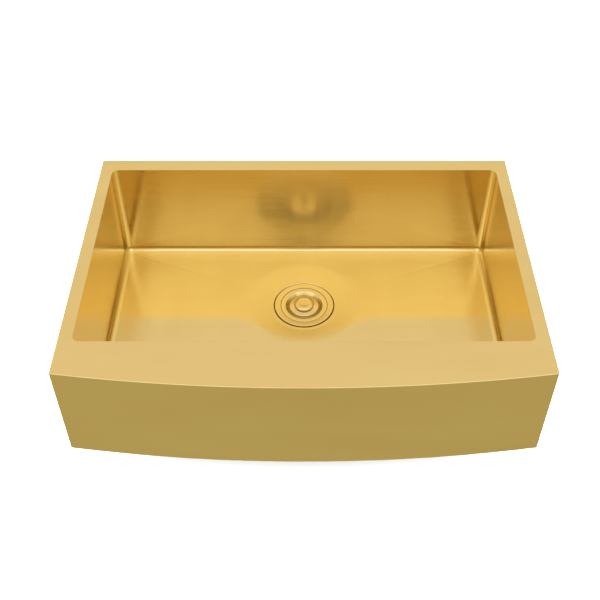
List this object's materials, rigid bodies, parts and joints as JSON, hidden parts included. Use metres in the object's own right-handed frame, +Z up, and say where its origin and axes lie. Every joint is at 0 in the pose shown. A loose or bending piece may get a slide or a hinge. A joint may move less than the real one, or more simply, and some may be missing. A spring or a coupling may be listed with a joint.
{
  "type": "apron-front kitchen sink",
  "caption": "Apron-front kitchen sink in gold-finished steel, with a bowed front panel, a floor that falls to the drain, and a strainer basket that lifts out and stops the drain.",
  "frame": {"origin": "where the drain's vertical axis meets the plane of the rim's top face", "axes": "+X to the right along the apron, +Y from the apron to the back, +Z up out of the bowl"},
  "size_m": [0.762, 0.543, 0.389],
  "materials": {
    "gold_steel": "brushed stainless steel with a gold coating, semi-gloss",
    "pad_rubber": "matt sound-deadening rubber",
    "seal_rubber": "smooth black rubber",
    "plain_steel": "satin stainless steel",
    "cast_brass": "rough cast brass",
    "fibre_ring": "pressed fibre",
    "white_washer": "white polyethylene"
  },
  "bodies": {
    "sink": {"rim_deck": "gold_steel", "bowl": "gold_steel", "apron_panel": "gold_steel", "apron_bottom_lip": "gold_steel", "apron_brace_left": "gold_steel", "apron_brace_right": "gold_steel", "floor_pad_left": "pad_rubber", "floor_pad_right": "pad_rubber", "floor_pad_front": "pad_rubber", "floor_pad_back": "pad_rubber", "wall_pad_left": "pad_rubber", "wall_pad_right": "pad_rubber", "wall_pad_front": "pad_rubber", "wall_pad_back": "pad_rubber", "strainer_body": "gold_steel", "flange_seal": "seal_rubber", "outlet_crossbar": "plain_steel", "sink_gasket": "seal_rubber", "friction_ring": "fibre_ring", "locknut": "cast_brass", "tailpiece_washer": "white_washer", "tailpiece": "plain_steel", "coupling_nut": "cast_brass"},
    "catch": {"catch_sleeve": "plain_steel"},
    "basket": {"basket": "gold_steel", "knob": "gold_steel", "post": "gold_steel", "stopper": "seal_rubber", "stopper_washer": "plain_steel", "stopper_nut": "plain_steel"}
  },
  "joints": [
    {"name": "basket_lift", "type": "slide", "parent": "sink", "child": "catch", "axis": [0, 0, 1], "range_m": [0, 0.3]},
    {"name": "basket_turn", "type": "hinge", "parent": "catch", "child": "basket", "pos_m": [0, 0, -0.21], "axis": [0, 0, 1], "continuous": true}
  ]
}
